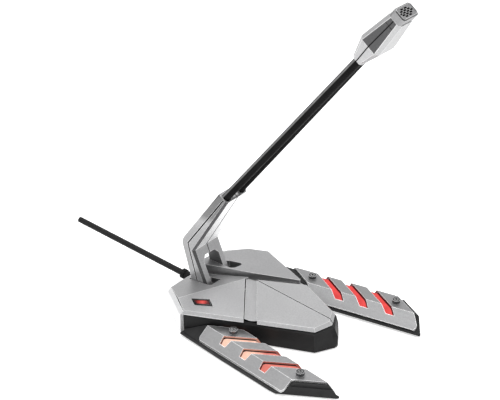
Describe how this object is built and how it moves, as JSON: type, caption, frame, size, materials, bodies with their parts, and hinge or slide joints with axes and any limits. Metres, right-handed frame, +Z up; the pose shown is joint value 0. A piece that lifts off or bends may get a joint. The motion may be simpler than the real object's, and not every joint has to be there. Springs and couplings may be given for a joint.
{
  "type": "gooseneck podium microphone",
  "caption": "Desk microphone with a faceted silver base, lit slotted side feet, a tilting bent yoke, twin black goosenecks and a faceted capsule head.",
  "frame": {"origin": "on the desk, in the mid-plane, at the centre of the middle rubber pad under the base", "axes": "+Z up from the desk, -Y towards the nose and the microphone head, +Y towards the cable, +X the raised-wing side"},
  "size_m": [0.1408, 0.2942, 0.2604],
  "materials": {
    "black_plastic": "fine matt texture",
    "silver_cover": "fine-grain metallic silver",
    "bright_silver": "bright satin silver",
    "foot_sheet": "fine brushed",
    "dark_trim": "satin dark grey",
    "gloss_black": "gloss",
    "key_red": "smoked red, lit from behind",
    "red_light": "translucent, lit red",
    "yoke_metal": "satin silver",
    "steel": "plain steel",
    "dark_screw": "dark burnished",
    "rubber": "matt",
    "washer": "satin white",
    "neck_sheath": "fine-ribbed gloss black",
    "capsule_metal": "satin grey",
    "foam": "open black foam",
    "braid": "woven black sleeve",
    "board": "solder mask"
  },
  "bodies": {
    "base": {"base_tub": "black_plastic", "foot_core_left": "black_plastic", "foot_core_right": "black_plastic", "key_switch": "black_plastic", "rear_cover": "silver_cover", "badge_cover": "silver_cover", "band_insert": "silver_cover", "nose_cover_left": "silver_cover", "nose_cover_right": "silver_cover", "wing_cover": "silver_cover", "side_facet_left": "bright_silver", "side_facet_right": "bright_silver", "foot_plate_left": "foot_sheet", "foot_plate_right": "foot_sheet", "wing_trim": "dark_trim", "key_bezel": "gloss_black", "light_bars_left": "red_light", "light_bars_right": "red_light", "ballast_plate": "steel", "base_screws": "steel", "foot_straps": "steel", "foot_screws": "dark_screw", "rubber_pads": "rubber", "cable_sleeve": "rubber", "cable": "braid", "circuit_board": "board"},
    "key": {"mute_key": "key_red"},
    "yoke": {"yoke_left": "yoke_metal", "yoke_right": "yoke_metal", "yoke_bridge": "yoke_metal", "tilt_pin": "steel", "friction_washers": "washer", "neck_bushes": "rubber", "neck_root_left": "neck_sheath", "neck_root_right": "neck_sheath"},
    "neck_lower": {"neck_one_left": "neck_sheath", "neck_one_right": "neck_sheath"},
    "neck_middle": {"neck_two_left": "neck_sheath", "neck_two_right": "neck_sheath"},
    "neck_upper": {"neck_three_left": "neck_sheath", "neck_three_right": "neck_sheath"},
    "head": {"neck_four_left": "neck_sheath", "neck_four_right": "neck_sheath", "head_flare_front": "bright_silver", "head_flare_rear": "bright_silver", "head_shell_front": "bright_silver", "head_shell_rear": "bright_silver", "head_panel_left": "dark_trim", "head_panel_right": "dark_trim", "capsule_frame": "capsule_metal", "capsule_grille": "capsule_metal", "capsule_foam": "foam", "mic_element": "capsule_metal"}
  },
  "joints": [
    {"name": "mute_key_press", "type": "slide", "parent": "base", "child": "key", "axis": [0.0177, 0.0078, -0.9998], "range_m": [0, 0.0008], "stiffness_N_per_m": 120},
    {"name": "yoke_tilt", "type": "hinge", "parent": "base", "child": "yoke", "pos_m": [0, 0.0455, 0.0098], "axis": [1, 0, 0], "range_deg": [0, 25]},
    {"name": "neck_bend_1", "type": "hinge", "parent": "yoke", "child": "neck_lower", "pos_m": [0, 0.0168, 0.10579], "axis": [1, 0, 0], "range_deg": [-12, 12]},
    {"name": "neck_bend_2", "type": "hinge", "parent": "neck_lower", "child": "neck_middle", "pos_m": [0, -0.00571, 0.13389], "axis": [1, 0, 0], "range_deg": [-12, 12]},
    {"name": "neck_bend_3", "type": "hinge", "parent": "neck_middle", "child": "neck_upper", "pos_m": [0, -0.02821, 0.16198], "axis": [1, 0, 0], "range_deg": [-12, 12]},
    {"name": "neck_bend_4", "type": "hinge", "parent": "neck_upper", "child": "head", "pos_m": [0, -0.05072, 0.19008], "axis": [1, 0, 0], "range_deg": [-12, 12]}
  ],
  "couplings": [
    {"joint": "neck_bend_2", "follows": "neck_bend_1", "ratio": 1},
    {"joint": "neck_bend_3", "follows": "neck_bend_1", "ratio": 1},
    {"joint": "neck_bend_4", "follows": "neck_bend_1", "ratio": 1}
  ]
}
